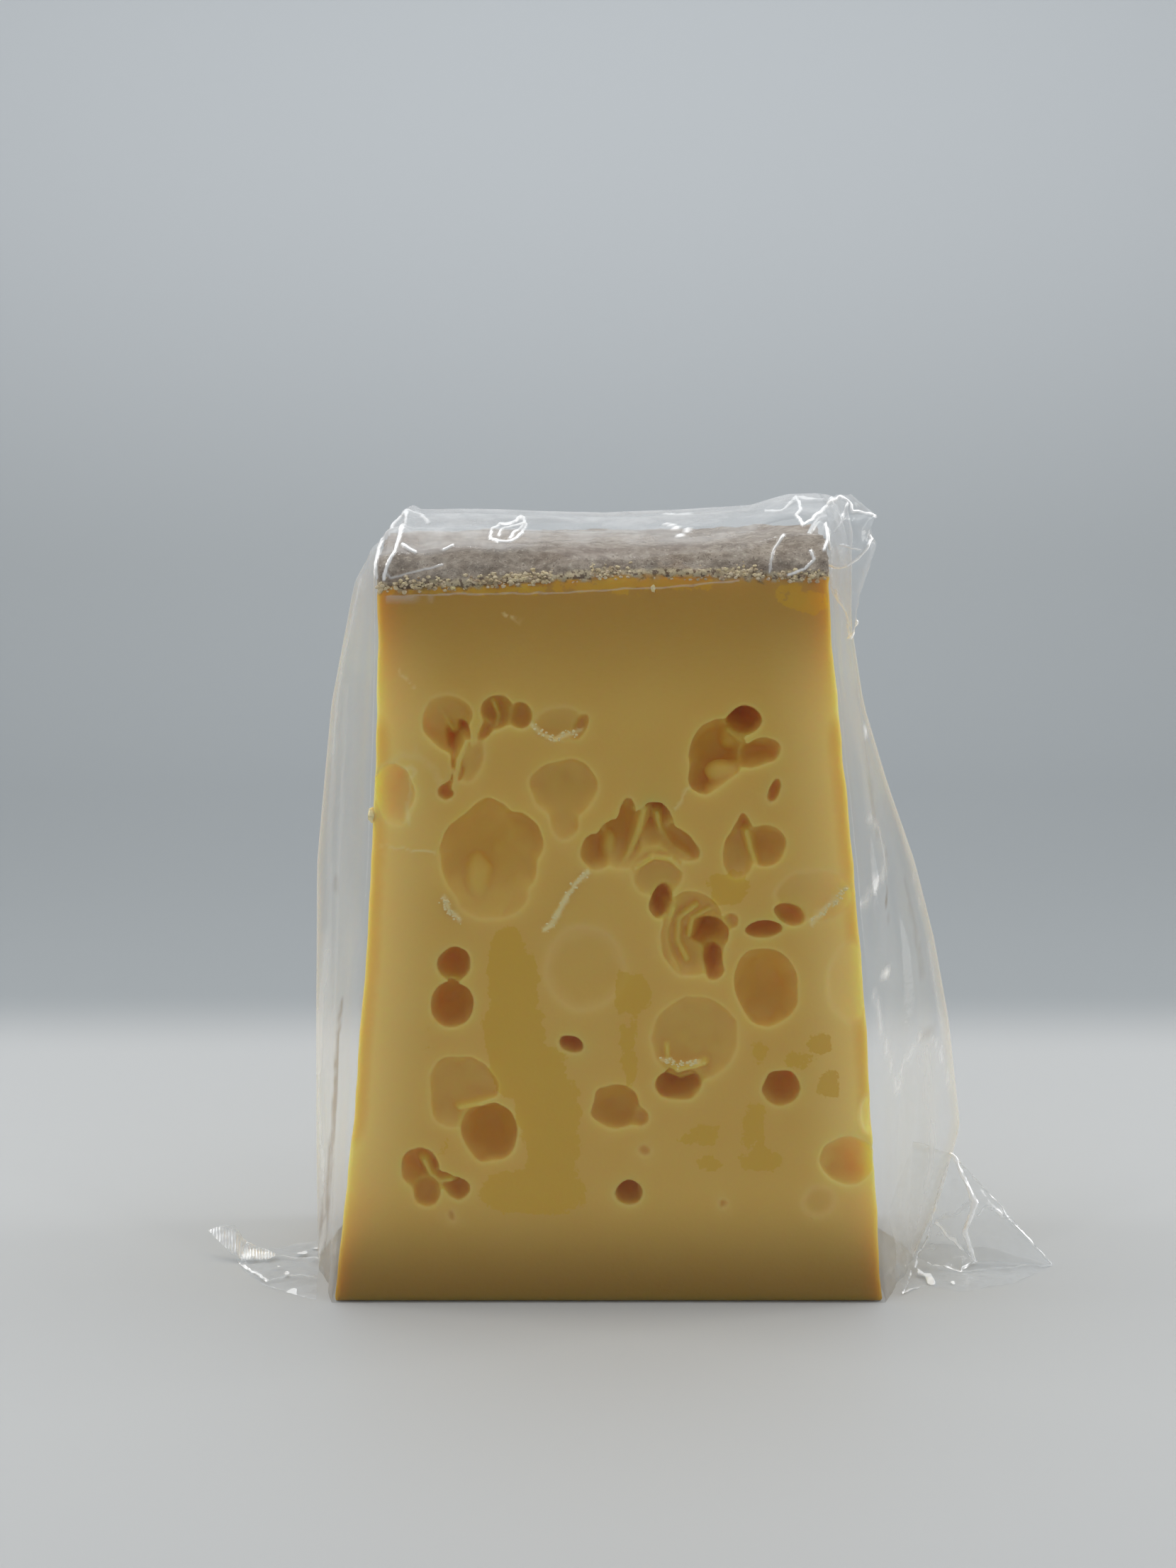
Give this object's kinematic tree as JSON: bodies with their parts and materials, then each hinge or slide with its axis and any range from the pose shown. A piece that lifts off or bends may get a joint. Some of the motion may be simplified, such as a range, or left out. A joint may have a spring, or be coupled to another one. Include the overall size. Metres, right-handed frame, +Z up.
{
  "type": "cheese wedge",
  "caption": "Tall wedge of hard cheese with large eyes and a grey-brown rind on top, standing in a loose clear sealed bag.",
  "frame": {"origin": "middle of the wedge's flat base, on the surface it stands on", "axes": "+X to the right along the broad face that is seen, +Y away from that face, +Z up towards the rind"},
  "size_m": [0.1856, 0.05, 0.1674],
  "materials": {
    "cheese": "smooth waxy pale yellow paste with oily patches, and a rough grey-brown rind on top",
    "film": "thin clear glossy film with creases"
  },
  "bodies": {
    "root": {"cheese": "cheese", "bag": "film"}
  },
  "joints": []
}
